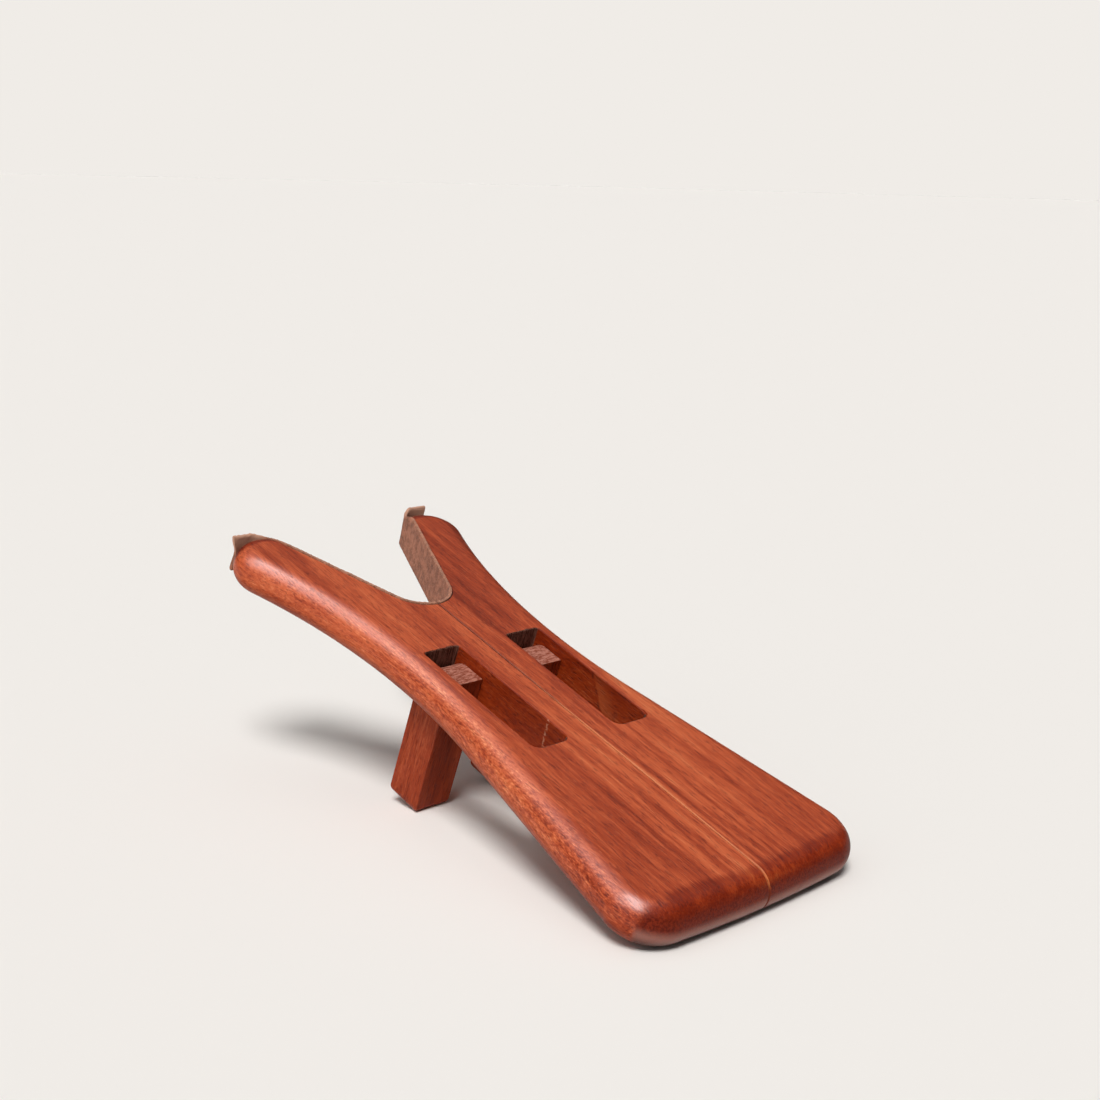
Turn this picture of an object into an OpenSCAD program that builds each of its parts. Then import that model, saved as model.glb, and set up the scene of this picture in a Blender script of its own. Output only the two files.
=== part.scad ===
// Folding boot jack: two hardwood halves hinged under the seam, each with a swing-down leg.
// Everything is drawn flat in the board's own frame and then stood on its legs:
// x runs across the board, y from the rear edge to the prong tips, z = 0 is the board's mid plane.

/* [Board] */
// Length of the wood from the rear edge to the prong tips
board_l = 254; // [246:1:264]
// Thickness of the board, whose edges are fully rounded
board_t = 17; // [15:0.5:19]
// Width across the rear
rear_w = 117; // [110:1:124]
// Radius of the rear corners in plan
rear_corner_r = 17.5; // [14:0.5:22]
// Radius of the slight outward bow of the rear edge
rear_bow_r = 700; // [500:10:1200]
// Width across the waist
waist_w = 78.5; // [76:0.5:84]
// Distance of the waist from the rear edge
waist_y = 150; // [144:1:156]
// Width across the two prong tips
tips_w = 113; // [106:1:120]
// Radius of each prong tip in plan
tip_r = 15; // [12:0.5:17]
// Gap between the halves at the seam
seam_gap = 0.4; // [0.2:0.1:1]

/* [Heel notch] */
// Depth of the notch from the prong tips to its round bottom
notch_depth = 70; // [66:1:74]
// Radius of the round bottom
notch_r = 16; // [13:0.5:18]
// Angle between the two sides
notch_angle = 45; // [42:1:47]
// Radius with which the suede turns the corner between the notch and a prong tip, where the wood is bevelled
tip_corner_r = 4; // [2:0.5:5]

/* [Suede] */
// Thickness of the suede strips
suede_t = 1.5; // [1:0.1:2]
// Thickness of the glue line behind a strip
glue_t = 0.2; // [0.1:0.05:0.3]
// Depth of a strip's upper edge below the top of the board
suede_drop = 0; // [0:0.1:1.5]
// Length of the loose tail past the corner
suede_tail = 7.5; // [5:0.5:10]
// Space left at the seam by each strip
suede_inset = 0.3; // [0.1:0.1:1]

/* [Legs] */
// Thickness of the square legs
leg_w = 16.5; // [14:0.1:16.7]
// Distance from the pivot to the foot
leg_reach = 55.7; // [50:0.1:58]
// Distance from the pivot to the top end
leg_head = 3.6; // [3:0.1:5]
// Radius of the top corner that faces the notch
leg_head_r = 7; // [3:0.5:7.5]
// Width of the small bevel along the legs' edges
leg_bevel = 0.8; // [0.6:0.1:1.5]
// Width of the bevel round the foot's edges
foot_bevel = 2.4; // [2.2:0.1:3]
// Distance of the pivots from the rear edge
pivot_y = 147.5; // [142:0.5:150]
// Clearance of a leg beside each slot wall
leg_gap = 0.35; // [0.2:0.05:0.5]
// Clearance between a leg and the slot wall that stops it
stop_gap = 0.3; // [0.1:0.05:0.5]
// Clearance of the swinging foot at the rear end of the slot
foot_gap = 0.5; // [0.4:0.1:1.2]

/* [Slots] */
// Distance from the seam's centre to the slot
slot_in = 12.2; // [11.5:0.1:13]
// Radius of the slot's front corners
slot_corner_r = 1.5; // [0.5:0.1:1.8]
// Radius of the slot's rear corners
slot_end_r = 3.6; // [1:0.1:4]

/* [Pivot pins] */
// Diameter of the steel pins
pin_d = 4; // [3:0.1:5]
// Radial clearance of each pin in its bores
pin_fit = 0.05; // [0.02:0.01:0.1]
// Depth of the inner pin end behind the seam face
pin_recess = 1; // [0.5:0.1:2]
// Length of the pin inside the outer wall of the slot
pin_bite = 5.5; // [3:0.5:6]

/* [Hinges] */
// Length of each hinge
hinge_l = 38; // [30:1:40]
// Width of one leaf from the seam's centre
leaf_w = 10; // [9:0.1:10.5]
// Thickness of the leaves
leaf_t = 1.4; // [1.2:0.1:1.8]
// Outer diameter of the knuckles
knuckle_d = 4.6; // [4.2:0.1:5.2]
// Diameter of the hinge pins
hinge_pin_d = 2.2; // [1.8:0.1:2.4]
// Radial clearance of the hinge pins
hinge_fit = 0.05; // [0.02:0.01:0.1]
// Depth of the hinge axis below the underside of the board
hinge_drop = 0.3; // [0.2:0.1:0.6]
// Gap between neighbouring knuckles
knuckle_gap = 0.3; // [0.2:0.1:0.5]
// Clearance round the knuckles
knuckle_clear = 0.35; // [0.25:0.05:0.6]
// Clearance round a leaf in its recess
leaf_seat = 0.1; // [0.05:0.05:0.2]
// Centre of the rear hinge, from the rear edge
rear_hinge_y = 50; // [40:1:56]
// Centre of the front hinge, from the rear edge
front_hinge_y = 122; // [112:1:123]

/* [Hinge screws] */
// Diameter of the screw heads
screw_head_d = 5; // [4.4:0.1:5.4]
// Diameter of the screw shanks
screw_d = 2.6; // [2.2:0.1:3]
// Length of the screws
screw_l = 10; // [8:0.5:11]
// Distance of the screws from the seam's centre
screw_x = 6.6; // [6.4:0.1:6.8]
// Distance between the two screws of a leaf
screw_pitch = 24; // [20:1:28]
// Clearance round a screw
screw_fit = 0.05; // [0.02:0.01:0.1]
// Width and depth of the driver slot in a head
driver_slot = 0.7; // [0.5:0.1:0.9]

/* [Hidden] */
$fn = 64;

wood_color = [0.62, 0.26, 0.16];
leg_color = [0.55, 0.24, 0.16];
suede_color = [0.52, 0.37, 0.29];
brass_color = [0.78, 0.62, 0.32];
steel_color = [0.66, 0.67, 0.69];

// How far a cutter runs past a face
eps = 1;
// How far a blind bore runs past the end of its pin or screw
blind = 0.4;
// Steps of the drawn curves in degrees: tight curves of the plan, waist, rear edge, rounded edge, suede
plan_step = 6;
waist_step = 2;
bow_step = 1;
edge_step = 12;
arc_step = 6;
// Where the tip's curve ends; the last stretch then leads on into the part that the notch takes away
tip_end_a = 120;
// Points on the seam's centre line from which the flat faces fan out, and their place in each share
hub_count = 6;
hub_share = 0.6;
edge_r = board_t / 2;
seam_x = seam_gap / 2;

// Rear corner: a circle that touches the bowed rear edge
corner_x = rear_w / 2 - rear_corner_r;
corner_y = rear_bow_r - sqrt(pow(rear_bow_r - rear_corner_r, 2) - pow(corner_x, 2));
bow_a = atan2(corner_x, rear_bow_r - corner_y);

// Prong tip: a circle that touches the hollow of the waist
tip_x = tips_w / 2 - tip_r;
tip_y = board_l - tip_r;
tip_to_waist = waist_w / 2 - tip_x;
waist_r = (pow(tip_to_waist, 2) + pow(tip_y - waist_y, 2) - pow(tip_r, 2)) / (2 * (tip_r - tip_to_waist));
waist_x = waist_w / 2 + waist_r;
tip_a = atan2(waist_y - tip_y, waist_x - tip_x);

// Straight side between the rear corner and the waist
side_span = norm([waist_x - corner_x, waist_y - corner_y]);
side_a = atan2(waist_y - corner_y, waist_x - corner_x) + asin((waist_r + rear_corner_r) / side_span) - 90;

// Heel notch: a round bottom with two straight sides that touch it
notch_half = notch_angle / 2;
notch_y = board_l - notch_depth + notch_r;
wall_dir = [sin(notch_half), cos(notch_half)];
wall_in = [-cos(notch_half), sin(notch_half)];
wall_start = [0, notch_y] - notch_r * wall_in;
tip_along = (tip_x - wall_start[0]) * wall_dir[0] + (tip_y - wall_start[1]) * wall_dir[1];
tip_aside = (tip_x - wall_start[0]) * wall_in[0] + (tip_y - wall_start[1]) * wall_in[1];
corner_along = tip_along + sqrt(pow(tip_r - tip_corner_r, 2) - pow(tip_corner_r + tip_aside, 2));
tip_corner = wall_start + corner_along * wall_dir - tip_corner_r * wall_in;
tip_corner_end = (tip_corner - [tip_x, tip_y]) / (tip_r - tip_corner_r);

// Slots: the leg rests against the front wall and swings into the rest of the slot
slot_w = leg_w + 2 * leg_gap;
slot_out = slot_in + slot_w;
slot_front = pivot_y + leg_w / 2 + stop_gap;
slot_rear = pivot_y - norm([leg_reach, leg_w / 2 - foot_bevel]) - foot_gap;
leg_x = slot_in + slot_w / 2;

pin_start = seam_x + pin_recess;
pin_end = slot_out + pin_bite;

// Hinges
hinge_z = -edge_r - hinge_drop;
knuckle_r = knuckle_d / 2;
knuckle_l = (hinge_l - 2 * knuckle_gap) / 3;
hinge_ys = [rear_hinge_y, front_hinge_y];

// Suede strips
suede_h = board_t - suede_drop;
suede_front = tip_corner[1] + tip_corner_r + glue_t + suede_t;

// Stance: the rear edge and the rear corners of the feet lie on the ground
foot_y = pivot_y - leg_w / 2 + foot_bevel;
tilt = atan2(leg_reach, foot_y - edge_r) - asin(edge_r / norm([foot_y - edge_r, leg_reach]));
stand_z = edge_r - edge_r * sin(tilt);
back_y = edge_r * cos(tilt) - edge_r;
front_y = suede_front * cos(tilt) + edge_r * sin(tilt);
stand_y = -(back_y + front_y) / 2;

module stand() {
  translate([0, stand_y, stand_z])
    rotate([tilt, 0, 0])
      children();
}

function angles(from_a, to_a, step_a) =
  let (steps = ceil(abs(to_a - from_a) / step_a))
  [for (i = [0:steps]) from_a + (to_a - from_a) * i / steps];

function arc(centre, r, from_a, to_a) =
  [for (a = angles(from_a, to_a, arc_step)) centre + r * [cos(a), sin(a)]];

// A stretch of outline: each entry is a point with the angle of the outward normal there
function stretch(centre, r, from_a, to_a, step_a, turn = 0) =
  [for (a = angles(from_a, to_a, step_a)) [centre + r * [cos(a + turn), sin(a + turn)], a]];

function without_first(list) = [for (i = [1:len(list) - 1]) list[i]];

// Outline of the right half, from the seam's rear end round to the notch side of the tip
function outline() = concat(
  stretch([0, rear_bow_r], rear_bow_r, -90, bow_a - 90, bow_step),
  without_first(stretch([corner_x, corner_y], rear_corner_r, bow_a - 90, side_a, plan_step)),
  stretch([waist_x, waist_y], waist_r, side_a, tip_a, waist_step, 180),
  without_first(stretch([tip_x, tip_y], tip_r, tip_a, tip_end_a, plan_step)),
  [[[tip_x / 4, tip_y] + edge_r * [cos(tip_end_a), sin(tip_end_a)], tip_end_a]]);

// Right half of the board before anything is cut out of it: a half-round edge swept along the outline
module blank() {
  path = outline();
  edge = angles(-90, 90, edge_step);
  rings = len(path);
  n = len(edge);
  swept = [for (p = path, e = edge)
    let (xy = p[0] - edge_r * (1 - cos(e)) * [cos(p[1]), sin(p[1])]) [xy[0], xy[1], edge_r * sin(e)]];
  hubs = [for (z = [-edge_r, edge_r], k = [0:hub_count - 1]) [0, tip_y * (k + hub_share) / hub_count, z]];
  hub = [for (p = path) max(0, min(hub_count - 1, floor(p[0][1] / tip_y * hub_count)))];
  low = rings * n;
  high = low + hub_count;
  last = (rings - 1) * n;

  sides = [for (i = [0:rings - 2], j = [0:n - 2]) [i * n + j, i * n + j + 1, (i + 1) * n + j + 1, (i + 1) * n + j]];
  top_fans = [for (i = [0:rings - 2]) [(i + 2) * n - 1, (i + 1) * n - 1, high + hub[i]]];
  top_links = [for (i = [0:rings - 2], k = [hub[i]:1:hub[i + 1] - 1]) [(i + 2) * n - 1, high + k, high + k + 1]];
  low_fans = [for (i = [0:rings - 2]) [i * n, (i + 1) * n, low + hub[i]]];
  low_links = [for (i = [0:rings - 2], k = [hub[i]:1:hub[i + 1] - 1]) [(i + 1) * n, low + k + 1, low + k]];
  seam = [for (k = [0:hub_count - 2]) [high + k + 1, high + k, low + k, low + k + 1]];
  rear_end = concat([low, high], [for (j = [n - 1:-1:0]) j]);
  tip_end = [for (j = [0:n - 1]) last + j];
  front = [last, last + n - 1, high + hub_count - 1, low + hub_count - 1];
  polyhedron(points = concat(swept, hubs),
             faces = concat(sides, top_fans, top_links, low_fans, low_links, seam, [rear_end, tip_end, front]));
}

module notch_cut() {
  wide = 3 * tips_w;
  translate([0, 0, -board_t])
    linear_extrude(2 * board_t) {
      translate([0, notch_y])
        circle(r = notch_r);
      polygon([[-eps, notch_y], -notch_r * wall_in + [0, notch_y],
               wall_start + wide * wall_dir, [-eps, notch_y + wide]]);
    }
}

// Bevel of the corner between the notch and the prong tip, behind the bend of the suede
module tip_bevel() {
  from = tip_corner + tip_corner_r * wall_in;
  to = tip_corner + tip_corner_r * tip_corner_end;
  run = (to - from) / norm(to - from);
  out = [-run[1], run[0]];
  translate([0, 0, -board_t])
    linear_extrude(2 * board_t)
      polygon([from - tip_corner_r * run, to + tip_corner_r * run,
               to + tip_corner_r * (run + out), from + tip_corner_r * (out - run)]);
}

module slot_cut() {
  r = slot_corner_r;
  slot_l = slot_front - slot_rear;
  translate([slot_in, slot_rear, -board_t])
    linear_extrude(2 * board_t) {
      translate([r, slot_end_r])
        square([slot_w - 2 * r, slot_l - slot_end_r]);
      translate([0, slot_end_r])
        square([slot_w, slot_l - slot_end_r - r]);
      translate([slot_end_r, 0])
        square([slot_w - 2 * slot_end_r, slot_l / 2]);
      for (x = [r, slot_w - r])
        translate([x, slot_l - r])
          circle(r = r);
      for (x = [slot_end_r, slot_w - slot_end_r])
        translate([x, slot_end_r])
          circle(r = slot_end_r);
    }
}

module pin_bore() {
  translate([-eps, pivot_y, 0])
    rotate([0, 90, 0])
      cylinder(h = pin_end + blind + eps, r = pin_d / 2 + pin_fit);
}

module screw_spots(hinge_y) {
  for (y = [-1, 1] * screw_pitch / 2)
    translate([screw_x, hinge_y + y, -edge_r])
      children();
}

module hinge_cut(hinge_y) {
  translate([-eps, hinge_y - hinge_l / 2 - leaf_seat, -board_t])
    cube([leaf_w + leaf_seat + eps, hinge_l + 2 * leaf_seat, board_t - edge_r + leaf_t + leaf_seat]);
  translate([0, hinge_y - hinge_l / 2 - leaf_seat, hinge_z])
    rotate([-90, 0, 0])
      cylinder(h = hinge_l + 2 * leaf_seat, r = knuckle_r + knuckle_clear);
  screw_spots(hinge_y)
    cylinder(h = screw_l + blind, r = screw_d / 2 + screw_fit);
}

module half() {
  difference() {
    blank();
    translate([-eps, -eps, -board_t])
      cube([seam_x + eps, board_l, 2 * board_t]);
    notch_cut();
    tip_bevel();
    slot_cut();
    pin_bore();
    for (y = hinge_ys)
      hinge_cut(y);
  }
}

// Side view of a leg with the pivot at the origin
module leg_side() {
  half_w = leg_w / 2;
  difference() {
    union() {
      translate([-half_w, -leg_reach])
        square([leg_w, leg_reach + leg_head - leg_head_r]);
      translate([-half_w, -leg_reach])
        square([leg_w - leg_head_r, leg_reach + leg_head]);
      translate([half_w - leg_head_r, leg_head - leg_head_r])
        circle(r = leg_head_r);
    }
    foot_bevels();
  }
}

module leg_front() {
  difference() {
    translate([-leg_w / 2, -leg_reach])
      square([leg_w, leg_reach + leg_head]);
    foot_bevels();
  }
}

module foot_bevels() {
  half_w = leg_w / 2;
  for (side = [-1, 1])
    polygon([[side * (half_w - foot_bevel - eps), -leg_reach - eps],
             [side * (half_w + eps), -leg_reach - eps],
             [side * (half_w + eps), -leg_reach + foot_bevel + eps]]);
}

module leg_section() {
  edge = leg_w / 2;
  flat = edge - leg_bevel;
  polygon([[edge, flat], [flat, edge], [-flat, edge], [-edge, flat],
           [-edge, -flat], [-flat, -edge], [flat, -edge], [edge, -flat]]);
}

module leg() {
  translate([leg_x, pivot_y, 0])
    difference() {
      intersection() {
        rotate([90, 0, 90])
          linear_extrude(leg_w, center = true)
            leg_side();
        rotate([90, 0, 0])
          linear_extrude(leg_w, center = true)
            leg_front();
        translate([0, 0, -leg_reach - eps])
          linear_extrude(leg_reach + leg_head + 2 * eps)
            leg_section();
      }
      rotate([0, 90, 0])
        cylinder(h = leg_w + 2 * eps, r = pin_d / 2 + pin_fit, center = true);
    }
}

// Round pin along z with a small bevel at both ends
module bevelled_pin(r, length) {
  bevel = r / 5;
  rotate_extrude()
    polygon([[0, 0], [r - bevel, 0], [r, bevel], [r, length - bevel], [r - bevel, length], [0, length]]);
}

module leg_pin() {
  translate([pin_start, pivot_y, 0])
    rotate([0, 90, 0])
      bevelled_pin(pin_d / 2, pin_end - pin_start);
}

// Plan of the strip's face that lies "out" in front of the face glued to the wood
function strip_line(out) =
  let (r = notch_r - glue_t - out,
       start_a = asin((seam_x + suede_inset) / r) - 90,
       bend = tip_corner_r + glue_t + out)
  concat(arc([0, notch_y], r, start_a, -notch_half),
         arc(tip_corner, bend, 180 - notch_half, 90),
         [tip_corner + [suede_tail, bend]]);

function backwards(list) = [for (i = [len(list) - 1:-1:0]) list[i]];

module suede() {
  translate([0, 0, -edge_r])
    linear_extrude(suede_h)
      polygon(concat(strip_line(0), backwards(strip_line(suede_t))));
}

// Knuckles of one leaf: slots 0 and 2 belong to the left leaf, slot 1 to the right leaf
module knuckle_row(slots) {
  for (i = slots) {
    y = -hinge_l / 2 + i * (knuckle_l + knuckle_gap);
    translate([0, y, hinge_z])
      rotate([-90, 0, 0])
        cylinder(h = knuckle_l, r = knuckle_r);
    translate([0, y, -edge_r])
      cube([knuckle_r + knuckle_clear + eps, knuckle_l, leaf_t]);
  }
}

module leaf(hinge_y, slots) {
  inner = knuckle_r + knuckle_clear;
  difference() {
    translate([0, hinge_y, 0]) {
      knuckle_row(slots);
      translate([inner, -hinge_l / 2, -edge_r])
        cube([leaf_w - inner, hinge_l, leaf_t]);
    }
    translate([0, hinge_y - hinge_l, hinge_z])
      rotate([-90, 0, 0])
        cylinder(h = 2 * hinge_l, r = hinge_pin_d / 2 + hinge_fit);
    screw_spots(hinge_y) {
      cylinder(h = leaf_t + eps, r = screw_d / 2 + screw_fit);
      screw_cone(screw_fit);
    }
  }
}

// Countersunk seat, wide at the underside of the leaf
module screw_cone(extra) {
  sink = (screw_head_d - screw_d) / 2;
  cylinder(h = sink, r1 = screw_head_d / 2 + extra, r2 = screw_d / 2 + extra);
}

module screws(hinge_y) {
  point = screw_d / 2;
  screw_spots(hinge_y)
    difference() {
      union() {
        screw_cone(0);
        cylinder(h = screw_l - point, r = screw_d / 2);
        translate([0, 0, screw_l - point])
          cylinder(h = point, r1 = screw_d / 2, r2 = screw_d / 8);
      }
      translate([-screw_head_d, -driver_slot / 2, -eps])
        cube([2 * screw_head_d, driver_slot, driver_slot + eps]);
    }
}

module hinge_pin(hinge_y) {
  translate([0, hinge_y - hinge_l / 2, hinge_z])
    rotate([-90, 0, 0])
      bevelled_pin(hinge_pin_d / 2, hinge_l);
}

module left() {
  mirror([1, 0, 0])
    children();
}

module half_left() { color(wood_color) stand() left() half(); }
module half_right() { color(wood_color) stand() half(); }
module leg_left() { color(leg_color) stand() left() leg(); }
module leg_right() { color(leg_color) stand() leg(); }
module leg_pin_left() { color(steel_color) stand() left() leg_pin(); }
module leg_pin_right() { color(steel_color) stand() leg_pin(); }
module suede_left() { color(suede_color) stand() left() suede(); }
module suede_right() { color(suede_color) stand() suede(); }
module rear_hinge_leaf_left() { color(brass_color) stand() left() leaf(rear_hinge_y, [0, 2]); }
module rear_hinge_leaf_right() { color(brass_color) stand() leaf(rear_hinge_y, [1]); }
module rear_hinge_pin() { color(brass_color) stand() hinge_pin(rear_hinge_y); }
module rear_hinge_screws_left() { color(brass_color) stand() left() screws(rear_hinge_y); }
module rear_hinge_screws_right() { color(brass_color) stand() screws(rear_hinge_y); }
module front_hinge_leaf_left() { color(brass_color) stand() left() leaf(front_hinge_y, [0, 2]); }
module front_hinge_leaf_right() { color(brass_color) stand() leaf(front_hinge_y, [1]); }
module front_hinge_pin() { color(brass_color) stand() hinge_pin(front_hinge_y); }
module front_hinge_screws_left() { color(brass_color) stand() left() screws(front_hinge_y); }
module front_hinge_screws_right() { color(brass_color) stand() screws(front_hinge_y); }

half_left();
half_right();
leg_left();
leg_right();
leg_pin_left();
leg_pin_right();
suede_left();
suede_right();
rear_hinge_leaf_left();
rear_hinge_leaf_right();
rear_hinge_pin();
rear_hinge_screws_left();
rear_hinge_screws_right();
front_hinge_leaf_left();
front_hinge_leaf_right();
front_hinge_pin();
front_hinge_screws_left();
front_hinge_screws_right();
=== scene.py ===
import math

import bmesh
import bpy
import numpy as np
from mathutils import Matrix, Vector, noise


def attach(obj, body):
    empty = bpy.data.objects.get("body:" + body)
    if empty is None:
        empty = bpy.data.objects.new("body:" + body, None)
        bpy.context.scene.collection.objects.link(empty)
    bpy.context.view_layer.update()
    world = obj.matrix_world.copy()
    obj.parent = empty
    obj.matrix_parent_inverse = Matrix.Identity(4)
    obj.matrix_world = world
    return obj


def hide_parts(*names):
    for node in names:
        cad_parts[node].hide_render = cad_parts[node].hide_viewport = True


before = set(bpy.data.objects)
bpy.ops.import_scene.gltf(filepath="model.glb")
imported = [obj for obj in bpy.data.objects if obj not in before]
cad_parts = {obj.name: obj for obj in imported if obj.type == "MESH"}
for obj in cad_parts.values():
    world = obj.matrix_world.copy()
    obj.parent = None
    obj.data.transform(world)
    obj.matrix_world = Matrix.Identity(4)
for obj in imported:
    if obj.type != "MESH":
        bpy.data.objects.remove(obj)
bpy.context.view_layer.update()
bpy.context.scene.view_settings.view_transform = "Standard"

# Sizes in mm, as in the part: the board lies flat, the seam is at x = 0, and y runs forward from the rear
BOARD_L, BOARD_T = 254.0, 17.0
REAR_W, REAR_CORNER_R, REAR_BOW_R = 117.0, 17.5, 700.0
WAIST_W, WAIST_Y = 78.5, 150.0
TIPS_W, TIP_R, TIP_END_A = 113.0, 15.0, math.radians(120)
SEAM_X = 0.2
NOTCH_DEPTH, NOTCH_R, NOTCH_HALF = 70.0, 16.0, math.radians(22.5)
TIP_CORNER_R = 4.0
SUEDE_T, GLUE_T, SUEDE_TAIL, SUEDE_INSET = 1.5, 0.2, 7.5, 0.3
LEG_W, LEG_REACH, LEG_HEAD, LEG_HEAD_R, FOOT_BEVEL = 16.5, 55.7, 3.6, 7.0, 2.4
PIVOT_Y, LEG_GAP, STOP_GAP, FOOT_GAP = 147.5, 0.35, 0.3, 0.5
SLOT_IN, SLOT_CORNER_R, SLOT_END_R = 12.2, 1.5, 3.6
PIN_BORE_R, PIN_BITE, PIN_CLEAR = 2.05, 5.5, 0.4
HINGE_YS, HINGE_L, LEAF_W, LEAF_T, LEAF_SEAT = (50.0, 122.0), 38.0, 10.0, 1.4, 0.1
KNUCKLE_HOLLOW_R, HINGE_DROP = 2.65, 0.3

# Finer sizes in mm that only the scene has: broken edges, and how far the cutters reach past the wood
SEAM_ARRIS, SLOT_ARRIS, NOTCH_ARRIS = 0.3, 0.45, 0.35
FOOT_R = FOOT_BEVEL * 1.5
LEG_BEVEL, METAL_BEVEL, SMALL_BEVEL = 0.7, 0.15, 0.1
CUT_PAST, NOTCH_PAST_SEAM, NOTCH_CUT_L = 1.0, 3.0, 120.0
POINT_STEP = 0.6
MM = 1000

# The board rests on its rear round and on the feet of its legs
EDGE_R = BOARD_T / 2
FOOT_Y = PIVOT_Y - LEG_W / 2 + FOOT_BEVEL
TILT = (math.atan2(LEG_REACH, FOOT_Y - EDGE_R)
        - math.asin(EDGE_R / math.hypot(FOOT_Y - EDGE_R, LEG_REACH)))
STAND_Z = EDGE_R * (1 - math.sin(TILT))

# The board's outline: arcs at the rear, the rear corner, the waist and the prong's tip
CORNER_X = REAR_W / 2 - REAR_CORNER_R
CORNER_Y = REAR_BOW_R - math.sqrt((REAR_BOW_R - REAR_CORNER_R) ** 2 - CORNER_X ** 2)
BOW_A = math.atan2(CORNER_X, REAR_BOW_R - CORNER_Y)
TIP_X, TIP_Y = TIPS_W / 2 - TIP_R, BOARD_L - TIP_R
TIP_TO_WAIST = WAIST_W / 2 - TIP_X
WAIST_R = ((TIP_TO_WAIST ** 2 + (TIP_Y - WAIST_Y) ** 2 - TIP_R ** 2)
           / (2 * (TIP_R - TIP_TO_WAIST)))
WAIST_X = WAIST_W / 2 + WAIST_R
TIP_A = math.atan2(WAIST_Y - TIP_Y, WAIST_X - TIP_X)
SIDE_SPAN = math.hypot(WAIST_X - CORNER_X, WAIST_Y - CORNER_Y)
SIDE_A = (math.atan2(WAIST_Y - CORNER_Y, WAIST_X - CORNER_X)
          + math.asin((WAIST_R + REAR_CORNER_R) / SIDE_SPAN) - math.pi / 2)

# The notch: its wall, and the round between the wall and the prong's tip
NOTCH_Y = BOARD_L - NOTCH_DEPTH + NOTCH_R
WALL_DIR = np.array([math.sin(NOTCH_HALF), math.cos(NOTCH_HALF)])
WALL_IN = np.array([-math.cos(NOTCH_HALF), math.sin(NOTCH_HALF)])
WALL_START = np.array([0, NOTCH_Y]) - NOTCH_R * WALL_IN
TIP_REL = np.array([TIP_X, TIP_Y]) - WALL_START
CORNER_L = TIP_REL @ WALL_DIR + math.sqrt((TIP_R - TIP_CORNER_R) ** 2
                                          - (TIP_CORNER_R + TIP_REL @ WALL_IN) ** 2)
TIP_CORNER = WALL_START + CORNER_L * WALL_DIR - TIP_CORNER_R * WALL_IN
TIP_CORNER_A = math.atan2(TIP_CORNER[1] - TIP_Y, TIP_CORNER[0] - TIP_X)

# The slot, and the leg in it
SLOT_W = LEG_W + 2 * LEG_GAP
SLOT_OUT = SLOT_IN + SLOT_W
SLOT_FRONT = PIVOT_Y + LEG_W / 2 + STOP_GAP
SLOT_REAR = PIVOT_Y - math.hypot(LEG_REACH, LEG_W / 2 - FOOT_BEVEL) - FOOT_GAP
LEG_X = SLOT_IN + SLOT_W / 2

# Splinters lost at the slot's top rim, as x, y, radius and depth, and the seed of the rim's roughness
CHIPS = {"left": ((SLOT_IN + 4, SLOT_FRONT, 2.2, 0.9), (SLOT_IN + 9, SLOT_FRONT, 1.5, 0.5),
                  (SLOT_OUT, SLOT_FRONT - 1, 1.6, 0.5)),
         "right": ((SLOT_OUT, SLOT_REAR + 2, 3.0, 0.8), (SLOT_IN, SLOT_REAR + 6, 1.6, 0.5),
                   (SLOT_OUT - 5, SLOT_FRONT, 1.4, 0.5))}
SLOT_SEED = {"left": 3.1, "right": 17.7}

# The lining. Its free front end sags on each side by its own amounts: the seed of its wobble, the tail's
# drop, the bend's drop, how far past the start of the bend that is deepest, and how far it spreads
SUEDE_HALF_T = SUEDE_T / 2
BEND_R = TIP_CORNER_R + GLUE_T + SUEDE_HALF_T
SUEDE_FRONT = TIP_CORNER[1] + TIP_CORNER_R + GLUE_T + SUEDE_T
SUEDE_SAG = {"left": (40.0, 1.9, 2.4, 2.0, 6.0), "right": (71.0, 0.9, 2.6, 0.5, 3.5)}
SUEDE_ROWS, SUEDE_PRESSED, SUEDE_WOBBLE, SUEDE_BULGE, SUEDE_RIM_H = 28, 0.12, 0.10, 0.9, 1.2
LOOSE_BEFORE_BEND, LOOSE_WITHIN = 6, 8
TAIL_SAG_AFTER, TAIL_SAG_WITHIN = 2.0, 4.0
TAIL_CUT_L = 6.0

STAND_Y = -(EDGE_R * math.cos(TILT) - EDGE_R
            + SUEDE_FRONT * math.cos(TILT) + EDGE_R * math.sin(TILT)) / 2
TURN = Matrix.Rotation(TILT, 3, "X")
BOARD_ORIGIN = -(TURN.transposed() @ Vector((0, STAND_Y, STAND_Z)))
TO_BOARD = (-TILT, 0, 0)


def to_world(points):
    """Points of the flat board, in mm, as points of the standing object, in metres."""
    p = np.atleast_2d(np.array(points, float))
    return (p @ np.array(TURN).T + np.array([0, STAND_Y, STAND_Z])) / MM


def link(name, data):
    obj = bpy.data.objects.new(name, data)
    bpy.context.scene.collection.objects.link(obj)
    return obj


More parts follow.
